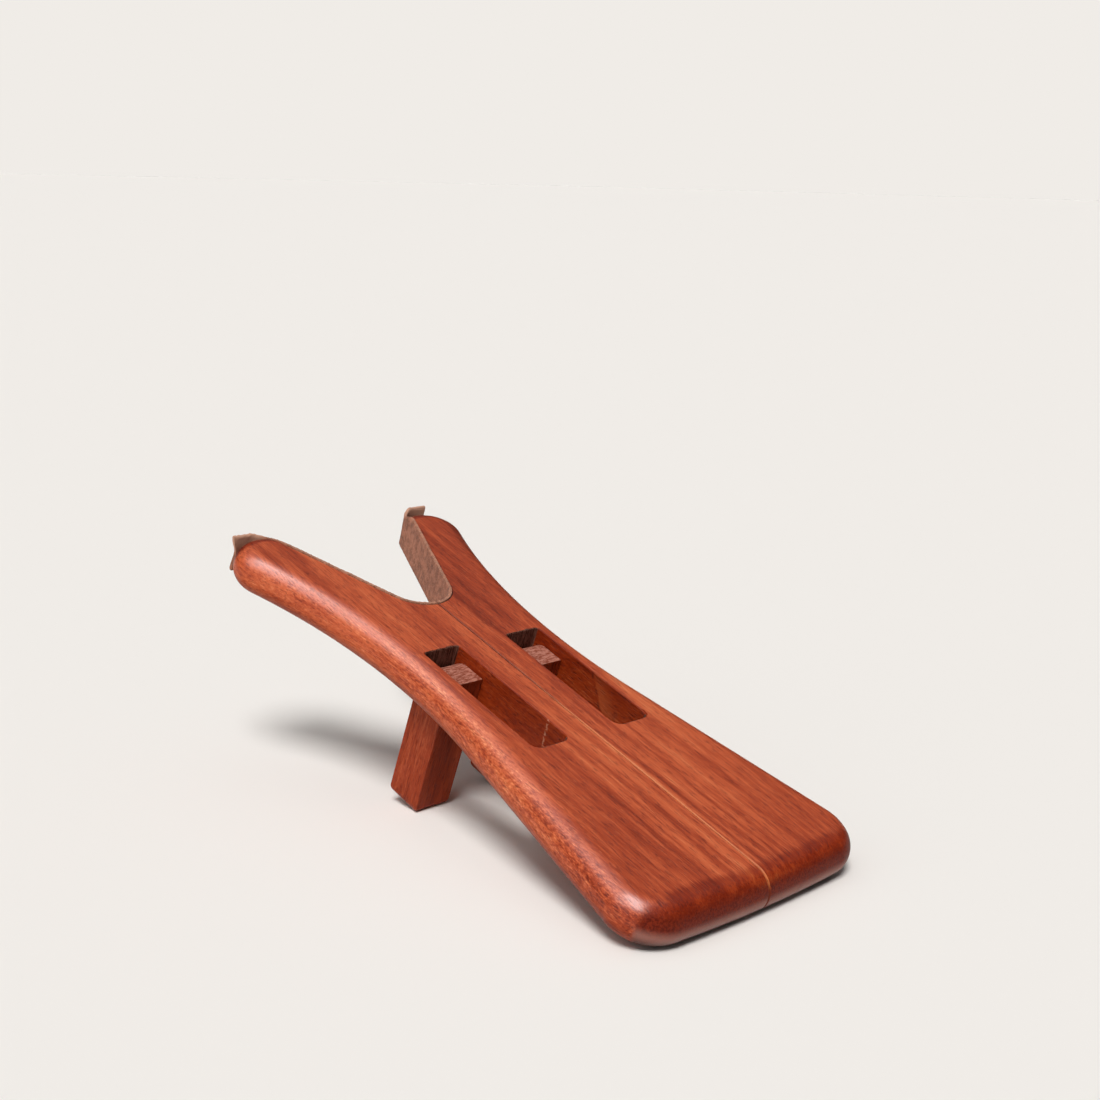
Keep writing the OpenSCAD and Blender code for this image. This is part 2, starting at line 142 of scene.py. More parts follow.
# Shader nodes
class Graph:
    """Short calls that add shader nodes to a material or a world and wire them."""

    def __init__(self, owner, output="ShaderNodeOutputMaterial"):
        owner.use_nodes = True
        self.owner = owner
        self.tree = owner.node_tree
        self.tree.nodes.clear()
        self.output = self.tree.nodes.new(output)

    def add(self, kind, inputs=None, **settings):
        node = self.tree.nodes.new(kind)
        for name, value in settings.items():
            setattr(node, name, value)
        for socket, value in (inputs or {}).items():
            self.put(node.inputs[socket], value)
        return node

    def put(self, socket, value):
        if isinstance(value, bpy.types.NodeSocket):
            self.tree.links.new(value, socket)
        elif isinstance(value, bpy.types.Node):
            self.tree.links.new(value.outputs[0], socket)
        else:
            socket.default_value = value

    def coordinates(self, kind):
        return self.add("ShaderNodeTexCoord").outputs[kind]

    def parts(self, vector):
        return self.add("ShaderNodeSeparateXYZ", {"Vector": vector}).outputs

    def place(self, vector, scale=(1, 1, 1), rotation=(0, 0, 0), location=(0, 0, 0)):
        return self.add("ShaderNodeMapping", {"Vector": vector, "Scale": scale, "Rotation": rotation,
                                              "Location": location}).outputs[0]

    def board_point(self):
        """The shaded point on the flat board, in mm."""
        return self.place(self.coordinates("Object"), (MM, MM, MM), TO_BOARD, tuple(BOARD_ORIGIN))

    def noise(self, vector, scale=1.0, detail=2.0, rough=0.5, distortion=0.0, output="Fac"):
        return self.add("ShaderNodeTexNoise", {"Vector": vector, "Scale": scale, "Detail": detail,
                                               "Roughness": rough, "Distortion": distortion}).outputs[output]

    def calc(self, operation, *values):
        return self.add("ShaderNodeMath", dict(enumerate(values)), operation=operation).outputs[0]

    def plus(self, total, *values):
        for value in values:
            total = self.calc("ADD", total, value)
        return total

    def times(self, product, *values):
        for value in values:
            product = self.calc("MULTIPLY", product, value)
        return product

    def scaled(self, value, factor, offset):
        return self.calc("MULTIPLY_ADD", value, factor, offset)

    def ramp(self, value, low, high, out_low=0.0, out_high=1.0, easing="SMOOTHSTEP"):
        return self.add("ShaderNodeMapRange", {"Value": value, "From Min": low, "From Max": high,
                                               "To Min": out_low, "To Max": out_high},
                        interpolation_type=easing).outputs[0]

    def mix(self, factor, a, b, blend="MIX"):
        """A mix of two colours, which are sockets 6 and 7 of a Mix node and its output 2."""
        return self.add("ShaderNodeMix", {0: factor, 6: a, 7: b},
                        data_type="RGBA", blend_type=blend).outputs[2]

    def stain(self, colour, by):
        return self.mix(1.0, colour, by, "MULTIPLY")

    def bump(self, height, distance, strength, normal=None):
        inputs = {"Height": height, "Distance": distance, "Strength": strength}
        if normal is not None:
            inputs["Normal"] = normal
        return self.add("ShaderNodeBump", inputs).outputs[0]

    def finish(self, shader):
        self.put(self.output.inputs["Surface"], shader)
        return self.owner

    def principled(self, inputs):
        return self.finish(self.add("ShaderNodeBsdfPrincipled", inputs))


def srgb(r, g, b):
    def linear(v):
        v /= 255
        return v / 12.92 if v <= 0.04045 else ((v + 0.055) / 1.055) ** 2.4
    return (linear(r), linear(g), linear(b), 1.0)


# Wood. Its noises: changes per mm across and along the grain, detail and roughness
GRAIN = {"cloud": (0.09, 0.007, 2, 0.5),
         "ribbon": (0.28, 0.012, 3, 0.55),
         "streak": (0.85, 0.05, 4, 0.62),
         "fibre": (2.0, 0.11, 3, 0.65),
         "pore": (1.7, 0.24, 1, 0.5),
         "dash": (1.25, 0.40, 3, 0.7),
         "glint": (3.4, 0.26, 1, 0.5)}
TONE_LAYERS = {"ribbon": 0.26, "streak": 0.31, "fibre": 0.40}
TONE_STEPS = ((-0.22, -0.02), (-0.06, 0.10), (0.08, 0.30))
WANDER, WANDER_RATE = 6.0, (0.02, 0.008)
END_SHARE = 0.95

# Where a board's looks change, in mm: each pair is where a change starts and where it is complete
PALE_X, PALE_Y = (30, 4), (150, 70)
FRONT_DARK_Y, REAR_DARK_Y = (110, 190), (105, 35)
DASHES_Y = (200, 130)
# below, the second and third pairs place the painted highlight along the seam's upper arris, towards the rear
ARRIS_X, ARRIS_HIGHLIGHT_Y, ARRIS_HIGHLIGHT_Z = (0.66, 0.52), (150, 80), (3.0, 7.0)
# this line and the next set the dark band on the rear end: end grain soaked with stain, deepened by painted
# shade
REAR_SOAK_AND_SHADE, CORNER_SOAK_AND_SHADE = (11.0, 7.6), (58, 50)
LEFT_CORNER_X = (-8, -28)

# Lines down the slots' long walls: half their width, and the patch behind the right one. In the right slot
# they are a painted shadow line beside a painted patch of light
SLOT_LINE_W, LIGHT_PATCH_EDGE, LIGHT_PATCH_FADE = (0.9, 0.3), (-0.5, -1.5), (-13.0, -3.0)
SLOT_LINE_YS = (101.5, 116)

# Four tones of each wood, from dark to light
BOARD_TONES = (srgb(122, 38, 12), srgb(162, 63, 31), srgb(193, 89, 50), srgb(224, 132, 84))
SLOT_TONES = (srgb(90, 24, 6), srgb(126, 38, 10), srgb(150, 54, 18), srgb(190, 100, 60))
LEG_TONES = (srgb(92, 30, 12), srgb(124, 44, 21), srgb(150, 58, 29), srgb(180, 86, 52))

# End grain of each wood: its dark and its light colour, and how often its rows change in x, y and z
# the board's dark end colour also serves as painted shade on its ends
BOARD_END_GRAIN_AND_SHADE = (srgb(78, 14, 2), srgb(112, 32, 10), (1.1, 1.1, 1.1))
SLOT_ENDS = (srgb(54, 27, 19), srgb(112, 76, 64), (1.5, 1.5, 0.12))
LEG_ENDS = (srgb(132, 66, 48), srgb(184, 122, 104), (0.45, 1.5, 1.0))

PORE_STAIN, END_STAIN = (0.42, 0.27, 0.20, 1), (0.58, 0.36, 0.21, 1)
# a painted reflection of the floor for the ends' lower part, and painted shade for downward-facing surfaces
FLOOR_REFLECTION_PAINT, UNDERSIDE_SHADE_PAINT = srgb(160, 112, 100), srgb(58, 20, 9)
# dark seam edges, and a painted highlight for the seam's upper arris
SEAM_DARK, SEAM_PAINTED_HIGHLIGHT = srgb(110, 40, 18), srgb(232, 132, 76)
# the slot lines' colours: a pale line, a painted shadow line and a painted patch of light
SLOT_LINE_PALE, PAINTED_SHADOW_LINE, PAINTED_LIGHT_PATCH = srgb(214, 150, 120), srgb(62, 18, 6), srgb(176, 84, 44)


class Wood(Graph):
    """Stained hardwood with its grain along the board's y or z axis; seam says that it is a board half."""

    def __init__(self, name, along, shift, seam):
        super().__init__(bpy.data.materials.new(name))
        self.along, self.seam = along, seam
        self.board = self.board_point()
        self.x, self.y, self.z = self.parts(self.board)
        self.facing = self.parts(self.place(self.coordinates("Normal"), rotation=TO_BOARD))
        self.sideways = self.calc("ABSOLUTE", self.facing[0])
        self.flank = self.ramp(self.sideways, 0.25, 0.75)
        self.speck = self.noise(self.board, scale=1.1, detail=3, rough=0.6)
        if seam:
            self.from_seam = self.calc("ABSOLUTE", self.x)
            self.arris = self.ramp(self.from_seam, *ARRIS_X)

        # the fibres wander a little, so straight coordinates are bent before they are stretched
        own = self.place(self.board, location=shift)
        wander = self.noise(self.place(own, self.grainwise(*WANDER_RATE)), output="Color")
        bent = self.add("ShaderNodeVectorMath", {0: wander, 1: self.grainwise(WANDER, 0.0), 2: own},
                        operation="MULTIPLY_ADD")
        self.grain = {layer: self.noise(self.place(bent, self.grainwise(across, length)),
                                        detail=detail, rough=rough)
                      for layer, (across, length, detail, rough) in GRAIN.items()}
        self.pores = self.ramp(self.grain["pore"], 0.55, 0.69)

    def grainwise(self, across, length):
        return (across, length, across) if self.along == "y" else (across, across, length)

    def tone(self, dashes, front_tone):
        """How light the wood is. The flanks carry short dashes, of a depth given for front and rear; on
        upward-facing flanks they are deeper and lift the tone as painted light.
        """
        tone = self.scaled(self.grain["cloud"], 0.44, -0.20)
        for layer, weight in TONE_LAYERS.items():
            tone = self.plus(tone, self.scaled(self.grain[layer], weight, -weight / 2))
        # painted light: upward-facing flanks get deeper dashes that lift their tone, as on a lit flank
        lit_upward = self.ramp(self.facing[2], -0.35, 0.15, 0.4, 1.0)
        dashed = self.times(self.flank, lit_upward, self.ramp(self.y, *DASHES_Y, *dashes))
        tone = self.plus(tone, self.times(dashed, self.calc("SUBTRACT", self.grain["dash"], 0.425)))
        if front_tone:
            tone = self.plus(tone, self.ramp(self.y, *FRONT_DARK_Y, 0.0, front_tone))
        if self.seam:
            near = self.times(self.ramp(self.from_seam, *PALE_X), self.ramp(self.y, *PALE_Y))
            pale = self.ramp(self.grain["ribbon"], 0.35, 0.65, -0.02, 0.14)
            rear = self.ramp(self.y, *REAR_DARK_Y, 0.0, -0.05)
            tone = self.plus(tone, self.times(near, pale), rear)
        return tone

    def grained(self, tone, tones):
        """The long grain's colour: four tones, dark pores and pale glints."""
        colour = tones[0]
        for (low, high), lighter in zip(TONE_STEPS, tones[1:]):
            colour = self.mix(self.ramp(tone, low, high), colour, lighter)
        colour = self.mix(self.times(self.pores, 0.55), colour, self.stain(colour, PORE_STAIN))
        return self.mix(self.ramp(self.grain["glint"], 0.66, 0.78, 0.0, 0.35), colour, tones[3])

    def soak_and_shade(self):
        """Where end grain shows, or a surface that took up the stain as end grain does. On the board halves
        it also carries painted shade: their ends, most of all the rear end, are darkened with it.
        """
        across = self.calc("ABSOLUTE", self.facing["xyz".index(self.along)])
        soak_and_shade = self.plus(across, self.scaled(self.speck, 0.16, -0.09))
        if self.along == "z":
            return self.ramp(soak_and_shade, 0.35, 0.75)
        soak_and_shade = self.ramp(self.calc("MULTIPLY_ADD", self.sideways, -0.45, soak_and_shade), 0.02, 0.22)
        if not self.seam:
            return soak_and_shade
        # the rear end is darker, as painted shade over the soaked end grain, from a little before its round,
        # most of all towards the left corner
        from_rear = self.calc("MULTIPLY_ADD", self.times(self.x, self.x), -0.5 / REAR_BOW_R, self.y)
        from_rear = self.plus(from_rear, self.scaled(self.grain["fibre"], 5.0, -2.5),
                              self.ramp(self.x, *LEFT_CORNER_X, 0.0, -1.9))
        inside_corner = self.ramp(self.plus(self.from_seam, self.y), *CORNER_SOAK_AND_SHADE)
        rear = self.times(self.ramp(from_rear, *REAR_SOAK_AND_SHADE), inside_corner)
        return self.calc("MAXIMUM", soak_and_shade, rear)

    def end_grain(self, colour, dark, light, row_rates):
        rows = self.noise(self.place(self.board, row_rates), detail=3, rough=0.7)
        ends = self.mix(self.ramp(rows, 0.40, 0.60), dark, light)
        if self.seam:
            ends = self.mix(self.ramp(self.facing[2], 0.55, 0.95), ends, self.stain(colour, END_STAIN))
            # the ends' lower part turns pale grey-pink: a painted reflection of the floor
            ends = self.mix(self.ramp(self.facing[2], 0.30, -0.15, 0.0, 0.75), ends, FLOOR_REFLECTION_PAINT)
        return ends

    def seam_and_underside(self, colour, soak_and_shade):
        """Dark arrises along the seam, with a painted highlight on their upper part towards the rear, and
        painted shade on the downward-facing surfaces.
        """
        colour = self.mix(self.times(self.arris, 0.8), colour, SEAM_DARK)
        # a painted highlight: the pale line where the seam's upper arris catches the light towards the rear
        worn = self.times(self.arris, self.ramp(self.y, *ARRIS_HIGHLIGHT_Y, 0.0, 0.6),
                          self.ramp(self.z, *ARRIS_HIGHLIGHT_Z), self.ramp(self.grain["streak"], 0.30, 0.50))
        colour = self.mix(worn, colour, SEAM_PAINTED_HIGHLIGHT)
        # painted shade: surfaces facing down are darkened, most of all on the ends
        below = self.ramp(self.facing[2], -0.15, -0.65)
        return self.mix(self.times(below, self.ramp(soak_and_shade, 0.0, 1.0, 0.35, 0.85)), colour, UNDERSIDE_SHADE_PAINT)

    def slot_line_and_light(self, colour):
        """A line down each slot's long wall: pale on the left; on the right a painted shadow line beside a
        painted patch of light.
        """
        right = self.ramp(self.x, -1.0, 1.0)
        line = self.plus(self.ramp(right, 0.0, 1.0, *SLOT_LINE_YS), self.times(self.grain["ribbon"], 2.0))
        line = self.calc("MULTIPLY_ADD", self.z, self.ramp(right, 0.0, 1.0, 0.10, 0.75), line)
        away = self.calc("SUBTRACT", self.y, line)
        slot_line_and_light = self.times(self.ramp(self.calc("ABSOLUTE", away), *SLOT_LINE_W),
                          self.ramp(self.noise(self.board, scale=1.1), 0.46, 0.60))
        # the right slot's patch is a painted patch of light, lighter towards the slot's rear end
        patch = self.times(self.ramp(away, *LIGHT_PATCH_EDGE), self.ramp(away, *LIGHT_PATCH_FADE), right,
                           self.ramp(self.grain["cloud"], 0.30, 0.60, 0.2, 0.6))
        colour = self.mix(patch, colour, PAINTED_LIGHT_PATCH)
        return self.mix(self.times(slot_line_and_light, 0.5), colour, self.mix(right, SLOT_LINE_PALE, PAINTED_SHADOW_LINE))

    def varnished(self, colour, soak_and_shade, coat, relief):
        height = self.plus(self.times(self.pores, -1.0), self.times(self.grain["fibre"], 0.5),
                           self.times(self.grain["dash"], 0.5))
        waves = self.noise(self.place(self.board, (0.06, 0.035, 0.06)), detail=1)
        swell = self.bump(waves, 0.0006, 0.3)
        rough = self.plus(self.ramp(self.speck, 0.3, 0.7, 0.40, 0.52), self.times(self.pores, 0.10))
        inputs = {"Base Color": colour, "Roughness": rough, "Specular IOR Level": 0.08,
                  "Normal": self.bump(height, 0.00010 * relief, 0.6, swell)}
        if coat:
            # the varnish sank into the end grain and the lower flanks, and the seam's edges have lost it
            dull = self.times(self.ramp(self.facing[2], 0.30, -0.20), self.flank)
            thirsty = self.times(self.ramp(self.facing[2], 0.99, 0.86),
                                 self.ramp(self.facing[2], -0.35, 0.0), soak_and_shade)
            dull = self.calc("MAXIMUM", self.calc("MAXIMUM", dull, thirsty), self.arris)
            inputs["Coat Weight"] = self.scaled(dull, -0.85 * coat, coat)
            inputs["Coat Normal"] = self.bump(height, 0.00003 * relief, 0.5, swell)
            inputs["Coat Roughness"] = 0.31
        return self.principled(inputs)


def wood(name, along, shift, tones, ends, coat=0.0, relief=1.0, dashes=(0.4, 0.4), front_tone=0.0,
         seam=False, slot_line_and_light=False):
    g = Wood(name, along, shift, seam)
    colour = g.grained(g.tone(dashes, front_tone), tones)
    soak_and_shade = g.soak_and_shade()
    colour = g.mix(g.times(soak_and_shade, END_SHARE), colour, g.end_grain(colour, *ends))
    if seam:
        colour = g.seam_and_underside(colour, soak_and_shade)
    if slot_line_and_light:
        colour = g.slot_line_and_light(colour)
    return g.varnished(colour, soak_and_shade, coat, relief)


def suede():
    """Brushed split leather: soft and blotchy, paler at its fluffy top rim, and paler at its front as painted
    light on the tail's shaded inner face.
    """
    g = Graph(bpy.data.materials.new("suede"))
    board = g.board_point()
    blotch = g.noise(board, scale=0.24, detail=4, rough=0.65)
    nap = g.noise(board, scale=1.6, detail=4, rough=0.7, distortion=0.6)
    fluff = g.noise(board, scale=6.0, detail=3, rough=0.7)
    brushed = g.noise(g.place(board, scale=(1, 1, 0.6)), scale=0.7, detail=4, rough=0.7, distortion=0.8)
    colour = g.mix(g.ramp(blotch, 0.38, 0.62), srgb(126, 72, 50), srgb(176, 110, 82))
    colour = g.mix(g.ramp(nap, 0.38, 0.68, 0.0, 0.6), colour, srgb(188, 128, 100))
    colour = g.mix(g.ramp(brushed, 0.50, 0.68, 0.0, 0.55), colour, srgb(84, 46, 32))
    colour = g.mix(g.ramp(fluff, 0.5, 0.8, 0.0, 0.2), colour, srgb(192, 148, 120))
    y, z = g.parts(board)[1:3]
    rim = g.ramp(g.plus(z, g.times(nap, 2.4)), EDGE_R + 0.8, EDGE_R + 2.0, 0.0, 0.5)
    # the paler front is painted light on the tail's inner face, which sits in shade against the wood
    front = g.ramp(g.calc("MULTIPLY_ADD", z, 0.5, y), SUEDE_FRONT - 1.5, SUEDE_FRONT + 2.0, 0.0, 0.9)
    colour = g.mix(g.calc("MAXIMUM", rim, front), colour, srgb(206, 156, 130))
    height = g.plus(nap, g.times(fluff, 0.5))
    return g.principled({"Base Color": colour, "Normal": g.bump(height, 0.0005, 0.8), "Roughness": 0.95,
                         "Specular IOR Level": 0.15, "Sheen Weight": 0.08, "Sheen Roughness": 0.5})


def metal(name, base, worn, dull, roughness):
    """Drawn or pressed metal with fine scratches and dull patches."""
    g = Graph(bpy.data.materials.new(name))
    mm = g.place(g.coordinates("Object"), (MM, MM, MM), TO_BOARD)
    patch = g.noise(mm, scale=0.35, detail=4, rough=0.65)
    scratch = g.noise(g.place(mm, scale=(9.0, 0.35, 9.0)), detail=2, rough=0.6)
    colour = g.mix(g.ramp(patch, 0.35, 0.7), base, dull)
    colour = g.mix(g.ramp(scratch, 0.58, 0.75, 0.0, 0.4), colour, worn)
    rough = g.plus(g.ramp(patch, 0.3, 0.7, roughness - 0.06, roughness + 0.12), g.times(scratch, 0.08))
    return g.principled({"Base Color": colour, "Roughness": rough, "Metallic": 1.0,
                         "Normal": g.bump(scratch, 0.00003, 0.4)})


BOARD_LOOK = {"along": "y", "tones": BOARD_TONES, "ends": BOARD_END_GRAIN_AND_SHADE, "coat": 0.55, "dashes": (0.3, 0.9),
              "seam": True}
board_wood = {"left": wood("wood_left", shift=(37, 113, 21), **BOARD_LOOK),
              "right": wood("wood_right", shift=(0, 0, 0), front_tone=-0.10, **BOARD_LOOK)}
slot_wood = wood("wood_slot", "y", (71, 29, 5), SLOT_TONES, SLOT_ENDS, relief=2.0, slot_line_and_light=True)
leg_wood = wood("wood_leg", "z", (11, 57, 0), LEG_TONES, LEG_ENDS, relief=1.6)
suede_leather = suede()
metals = {"brass": metal("brass", srgb(205, 168, 92), srgb(232, 204, 140), srgb(168, 130, 66), 0.32),
          "steel": metal("steel", srgb(176, 178, 182), srgb(214, 216, 220), srgb(140, 142, 146), 0.3)}


# Meshes. A shape is its points, in board mm, with its faces, for the right half; the left one mirrors it
def make(name, shape, side, material=None):
    points, faces = shape
    p = np.array(points, float)
    if side == "left":
        p = p * np.array([-1, 1, 1])
        faces = [tuple(reversed(f)) for f in faces]
    mesh = bpy.data.meshes.new(name)
    mesh.from_pydata(to_world(p).tolist(), [], [tuple(int(i) for i in f) for f in faces])
    mesh.update()
    if material:
        mesh.materials.append(material)
    return link(name, mesh)


def claim(obj, body, node):
    """Says what a piece rides on and which node it shows, whose own mesh it hides."""
    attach(obj, body)
    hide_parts(node)


def edit(mesh, change):
    """Runs change on a mesh in edit form."""
    bm = bmesh.new()
    bm.from_mesh(mesh)
    change(bm)
    bm.to_mesh(mesh)
    bm.free()


def face_out(bm):
    bmesh.ops.recalc_face_normals(bm, faces=bm.faces)


def soften(obj, sharp_deg=32):
    """Smooth shading, with edges over the angle kept sharp."""
    def smooth(bm):
        face_out(bm)
        for f in bm.faces:
            f.smooth = True
        for e in bm.edges:
            e.smooth = len(e.link_faces) == 2 and e.calc_face_angle(0) < math.radians(sharp_deg)

    edit(obj.data, smooth)
    weighted = obj.modifiers.new("weighted", "WEIGHTED_NORMAL")
    weighted.keep_sharp = True
    weighted.weight = 60


def bevel(obj, width, segments):
    modifier = obj.modifiers.new("bevel", "BEVEL")
    modifier.width = width / MM
    modifier.segments = segments
    modifier.limit_method = "ANGLE"
    modifier.angle_limit = math.radians(40)


def carve(obj, cutters):
    """Takes the cutters out of obj, for good."""
    for cutter in cutters:
        edit(cutter.data, face_out)
        cut = obj.modifiers.new("cut", "BOOLEAN")
        cut.operation = "DIFFERENCE"
        cut.solver = "EXACT"
        cut.object = cutter
    bpy.context.view_layer.update()
    evaluated = obj.evaluated_get(bpy.context.evaluated_depsgraph_get())
    carved = bpy.data.meshes.new_from_object(evaluated)
    obj.modifiers.clear()
    whole = obj.data
    obj.data = carved
    carved.name = whole.name
    bpy.data.meshes.remove(whole)
    for cutter in cutters:
        data = cutter.data
        bpy.data.objects.remove(cutter)
        bpy.data.meshes.remove(data)


def clip(value):
    return min(1.0, max(0.0, value))


def angles(a, b, step_deg):
    return np.linspace(a, b, max(1, math.ceil(abs(b - a) / math.radians(step_deg))) + 1)


def around(centre, r, a, b, step_deg, turn=0.0):
    """Outline points with the angle of their outward normal."""
    return [(centre[0] + r * math.cos(t + turn), centre[1] + r * math.sin(t + turn), t)
            for t in angles(a, b, step_deg)]


def evenly(line, step):
    """Points about a step apart on a line, and how far along it each one lies."""
    line = np.array(line)
    at = np.concatenate([[0], np.cumsum(np.hypot(*np.diff(line, axis=0).T))])
    t = np.linspace(0, at[-1], int(at[-1] / step) + 1)
    return np.stack([np.interp(t, at, line[:, 0]), np.interp(t, at, line[:, 1])], 1), t


def outline():
    first = math.asin((SEAM_X + SEAM_ARRIS) / REAR_BOW_R) - math.pi / 2
    return (around((0, REAR_BOW_R), REAR_BOW_R, first, BOW_A - math.pi / 2, 0.3)
            + around((CORNER_X, CORNER_Y), REAR_CORNER_R, BOW_A - math.pi / 2, SIDE_A, 3)[1:]
            + around((WAIST_X, WAIST_Y), WAIST_R, SIDE_A, TIP_A, 1, math.pi)
            + around((TIP_X, TIP_Y), TIP_R, TIP_A, TIP_END_A, 3)[1:]
            + [(TIP_X / 4 + EDGE_R * math.cos(TIP_END_A), TIP_Y + EDGE_R * math.sin(TIP_END_A), TIP_END_A)])


def blank():
    """The board half before it is cut: a round edge all round and a fine arris along the seam."""
    edge = angles(-math.pi / 2, math.pi / 2, 6)
    path = outline()
    seam_r = EDGE_R - SEAM_ARRIS
    rear_y = REAR_BOW_R - math.sqrt(REAR_BOW_R ** 2 - SEAM_X ** 2)
    points = [(SEAM_X, rear_y + EDGE_R - seam_r * math.cos(e), seam_r * math.sin(e)) for e in edge]
    for x, y, a in path:
        for e in edge:
            inset = EDGE_R * (1 - math.cos(e))
            points.append((x - inset * math.cos(a), y - inset * math.sin(a), EDGE_R * math.sin(e)))

    n, rings = len(edge), len(path) + 1
    low, low_arris, high_arris, high = range(len(points), len(points) + 4)
    points += [(SEAM_X, TIP_Y, -seam_r), (SEAM_X + SEAM_ARRIS, TIP_Y, -EDGE_R),
               (SEAM_X + SEAM_ARRIS, TIP_Y, EDGE_R), (SEAM_X, TIP_Y, seam_r)]
    last = (rings - 1) * n
    round_edge = [(i * n + j, (i + 1) * n + j, (i + 1) * n + j + 1, i * n + j + 1)
                  for i in range(rings - 1) for j in range(n - 1)]
    underside = (low_arris, *(i * n for i in range(rings - 1, 0, -1)))
    top = (high_arris, *(i * n + n - 1 for i in range(1, rings)))
    arrises = [(low, low_arris, n, 0), (high_arris, high, n - 1, 2 * n - 1)]
    seam = (high, low, *range(n))
    front = [tuple(range(last + n - 1, last - 1, -1)), (low_arris, low, high, high_arris, last + n - 1, last)]
    return points, [*round_edge, underside, top, *arrises, seam, *front]


def prism(loop_at, levels):
    """A closed cutter with one loop of points at each level."""
    loops = [loop_at(z) for z in levels]
    n = len(loops[0])
    points = [(x, y, z) for loop, z in zip(loops, levels) for x, y in loop]
    faces = [(i * n + j, i * n + (j + 1) % n, (i + 1) * n + (j + 1) % n, (i + 1) * n + j)
             for i in range(len(levels) - 1) for j in range(n)]
    faces.append(tuple(range(n - 1, -1, -1)))
    faces.append(tuple(range((len(levels) - 1) * n, len(levels) * n)))
    return points, faces


def through(*rim_depths):
    """Levels from below the board to above it, with some at these depths under each face."""
    lower = [-EDGE_R - CUT_PAST] + [-EDGE_R + depth for depth in (0.0, *rim_depths)]
    return lower + [-z for z in reversed(lower)]


def ease(z, arris):
    """How much wider a cut is at this level, so that its rims are broken."""
    into_rim = clip((arris - EDGE_R + abs(z)) / arris)
    return arris * (1 - math.sqrt(1 - into_rim ** 2))


def slot_cutter(side):
    """The slot with rough, broken rims, and splinters lost at the top one."""
    seed, r, e = SLOT_SEED[side], SLOT_CORNER_R, SLOT_END_R
    loop = []
    for x, y, corner_r, first in ((SLOT_OUT - e, SLOT_REAR + e, e, -90), (SLOT_OUT - r, SLOT_FRONT - r, r, 0),
                                  (SLOT_IN + r, SLOT_FRONT - r, r, 90), (SLOT_IN + e, SLOT_REAR + e, e, 180)):
        for t in angles(math.radians(first), math.radians(first + 90), 8):
            loop.append((x + corner_r * math.cos(t), y + corner_r * math.sin(t)))
    loop = evenly(loop + [loop[0]], POINT_STEP)[0][:-1]
    tangent = np.roll(loop, -1, 0) - np.roll(loop, 1, 0)
    out = np.stack([tangent[:, 1], -tangent[:, 0]], 1)
    out /= np.linalg.norm(out, axis=1)[:, None]
    rough = np.array([noise.noise(Vector((x * 0.7 + seed, y * 0.7, 0))) for x, y in loop])
    fine = np.array([noise.noise(Vector((x * 2.1 + seed, y * 2.1, 5))) for x, y in loop])

    def at(z):
        grow = ease(z, SLOT_ARRIS)
        share = grow / SLOT_ARRIS
        extra = np.full(len(loop), grow) + share * (0.16 * rough + 0.10 * fine)
        if z > 0:
            for x, y, radius, depth in CHIPS[side]:
                d = np.hypot(loop[:, 0] - x, loop[:, 1] - y)
                extra += share * depth * np.clip(1 - (d / radius) ** 2, 0, 1) * (0.75 + 0.5 * fine)
        return loop + out * extra[:, None]

    return prism(at, through(0.06, 0.18, SLOT_ARRIS))


def notch_cutter():
    """The notch from past the seam to past the prong's tip."""
    def at(z):
        r = NOTCH_R + ease(z, NOTCH_ARRIS)
        loop = [(-NOTCH_PAST_SEAM, NOTCH_Y - math.sqrt(r ** 2 - NOTCH_PAST_SEAM ** 2))]
        for t in angles(-math.pi / 2, -NOTCH_HALF, 4):
            loop.append((r * math.cos(t), NOTCH_Y + r * math.sin(t)))
        far = np.array([0, NOTCH_Y]) - r * WALL_IN + NOTCH_CUT_L * WALL_DIR
        return loop + [tuple(far), (-NOTCH_PAST_SEAM, far[1])]

    return prism(at, through(0.08, NOTCH_ARRIS))


def corner_cutter():
    """Rounds the corner between the notch and the prong tip."""
    arc = angles(math.pi - NOTCH_HALF, TIP_CORNER_A, 6)
    near, far = ([tuple(TIP_CORNER + r * np.array([math.cos(t), math.sin(t)])) for t in arc]
                 for r in (TIP_CORNER_R, 3 * TIP_CORNER_R))
    loop = (near + far[::-1])[::-1]
    return prism(lambda z: loop, [-EDGE_R - CUT_PAST, EDGE_R + CUT_PAST])


def block(low, high):
    x0, y0, z0 = low
    x1, y1, z1 = high
    points = [(x, y, z) for z in (z0, z1) for x, y in ((x0, y0), (x1, y0), (x1, y1), (x0, y1))]
    faces = [(3, 2, 1, 0), (4, 5, 6, 7), (0, 1, 5, 4), (1, 2, 6, 5), (2, 3, 7, 6), (3, 0, 4, 7)]
    return points, faces


def rod(start, end, r, axis):
    """A closed round cutter: along x at the legs' pivot, or along y at the hinges' knuckles."""
    steps = 32
    points = []
    for along in (start, end):
        for i in range(steps):
            t = 2 * math.pi * i / steps
            c, s = r * math.cos(t), r * math.sin(t)
            points.append((along, PIVOT_Y + c, s) if axis == "x" else (c, along, -EDGE_R - HINGE_DROP + s))
    faces = [(j, (j + 1) % steps, steps + (j + 1) % steps, steps + j) for j in range(steps)]
    faces.append(tuple(range(steps - 1, -1, -1)))
    faces.append(tuple(range(steps, 2 * steps)))
    if axis == "y":
        faces = [tuple(reversed(f)) for f in faces]
    return points, faces


